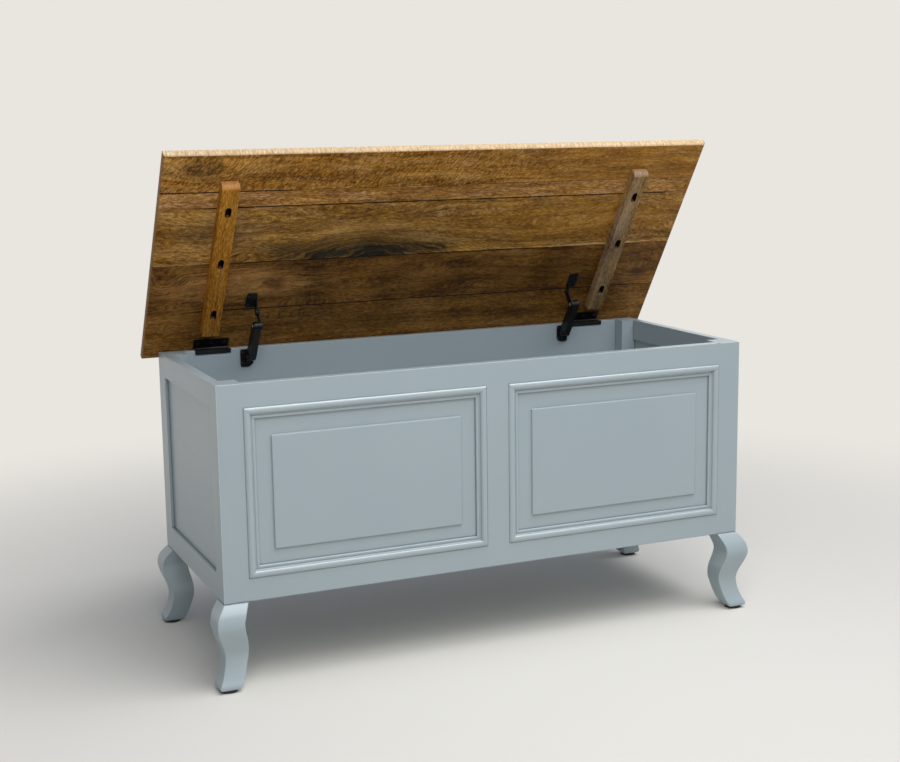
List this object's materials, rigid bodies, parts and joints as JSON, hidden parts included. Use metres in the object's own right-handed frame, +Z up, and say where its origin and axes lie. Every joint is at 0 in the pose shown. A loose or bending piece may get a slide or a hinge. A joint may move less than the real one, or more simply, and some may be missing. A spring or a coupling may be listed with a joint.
{
  "type": "blanket chest",
  "caption": "Painted frame-and-panel storage chest on cabriole legs, with moulded fielded front panels and a hinged plank lid held open by jointed lid stays.",
  "frame": {"origin": "on the floor, under the middle of the chest's body", "axes": "+X to the right along the front, seen from the front; +Y from the front to the back; +Z up"},
  "size_m": [1.162, 0.4885, 0.9731],
  "materials": {
    "painted_wood": "satin blue-grey paint",
    "oiled_wood": "oiled mango-type hardwood, brown with dark streaks",
    "black_steel": "pressed steel with a satin black coat",
    "glide_plastic": "moulded black"
  },
  "bodies": {
    "chest_body": {"post_front_left": "painted_wood", "post_front_right": "painted_wood", "post_back_left": "painted_wood", "post_back_right": "painted_wood", "rail_front_bottom": "painted_wood", "rail_front_top": "painted_wood", "rail_back_bottom": "painted_wood", "rail_back_top": "painted_wood", "rail_left_bottom": "painted_wood", "rail_left_top": "painted_wood", "rail_right_bottom": "painted_wood", "rail_right_top": "painted_wood", "centre_stile": "painted_wood", "panel_front_left": "painted_wood", "panel_front_right": "painted_wood", "panel_left": "painted_wood", "panel_right": "painted_wood", "panel_back": "painted_wood", "moulding_left_panel_bottom": "painted_wood", "moulding_left_panel_right": "painted_wood", "moulding_left_panel_top": "painted_wood", "moulding_left_panel_left": "painted_wood", "moulding_right_panel_bottom": "painted_wood", "moulding_right_panel_right": "painted_wood", "moulding_right_panel_top": "painted_wood", "moulding_right_panel_left": "painted_wood", "floor_board": "painted_wood", "floor_cleat_front": "painted_wood", "floor_cleat_back": "painted_wood", "leg_front_left": "painted_wood", "leg_front_right": "painted_wood", "leg_back_left": "painted_wood", "leg_back_right": "painted_wood", "glide_front_left": "glide_plastic", "glide_front_right": "glide_plastic", "glide_back_left": "glide_plastic", "glide_back_right": "glide_plastic", "hinge_left_body_leaf": "black_steel", "hinge_left_pin": "black_steel", "hinge_right_body_leaf": "black_steel", "hinge_right_pin": "black_steel", "stay_left_body_bracket": "black_steel", "stay_right_body_bracket": "black_steel"},
    "lid": {"lid_board_1": "oiled_wood", "lid_board_2": "oiled_wood", "lid_board_3": "oiled_wood", "lid_board_4": "oiled_wood", "lid_board_5": "oiled_wood", "batten_left": "oiled_wood", "batten_right": "oiled_wood", "hinge_left_lid_leaf": "black_steel", "hinge_right_lid_leaf": "black_steel", "stay_left_lid_bracket": "black_steel", "stay_right_lid_bracket": "black_steel"},
    "left_lower_arm": {"stay_left_lower_arm": "black_steel"},
    "left_upper_arm": {"stay_left_upper_arm": "black_steel"},
    "right_lower_arm": {"stay_right_lower_arm": "black_steel"},
    "right_upper_arm": {"stay_right_upper_arm": "black_steel"}
  },
  "joints": [
    {"name": "lid_hinge", "type": "hinge", "parent": "chest_body", "child": "lid", "pos_m": [0, 0.2233, 0.56615], "axis": [-1, 0, 0], "range_deg": [-56.4, 15.6]},
    {"name": "left_lower_arm_pivot", "type": "hinge", "parent": "chest_body", "child": "left_lower_arm", "pos_m": [-0.366, 0.1876, 0.5469], "axis": [-1, 0, 0], "range_deg": [-66, 18.5]},
    {"name": "right_lower_arm_pivot", "type": "hinge", "parent": "chest_body", "child": "right_lower_arm", "pos_m": [0.362, 0.1876, 0.5469], "axis": [-1, 0, 0], "range_deg": [-66, 18.5]},
    {"name": "left_upper_arm_pivot", "type": "hinge", "parent": "lid", "child": "left_upper_arm", "pos_m": [-0.357, 0.15884, 0.64194], "axis": [-1, 0, 0], "range_deg": [-18.2, 64.8]},
    {"name": "right_upper_arm_pivot", "type": "hinge", "parent": "lid", "child": "right_upper_arm", "pos_m": [0.353, 0.15884, 0.64194], "axis": [-1, 0, 0], "range_deg": [-18.2, 64.8]}
  ],
  "couplings": [
    {"joint": "left_lower_arm_pivot", "follows": "lid_hinge", "ratio": 1.1648},
    {"joint": "right_lower_arm_pivot", "follows": "lid_hinge", "ratio": 1.1648},
    {"joint": "left_upper_arm_pivot", "follows": "lid_hinge", "ratio": -1.1411},
    {"joint": "right_upper_arm_pivot", "follows": "lid_hinge", "ratio": -1.1411}
  ]
}
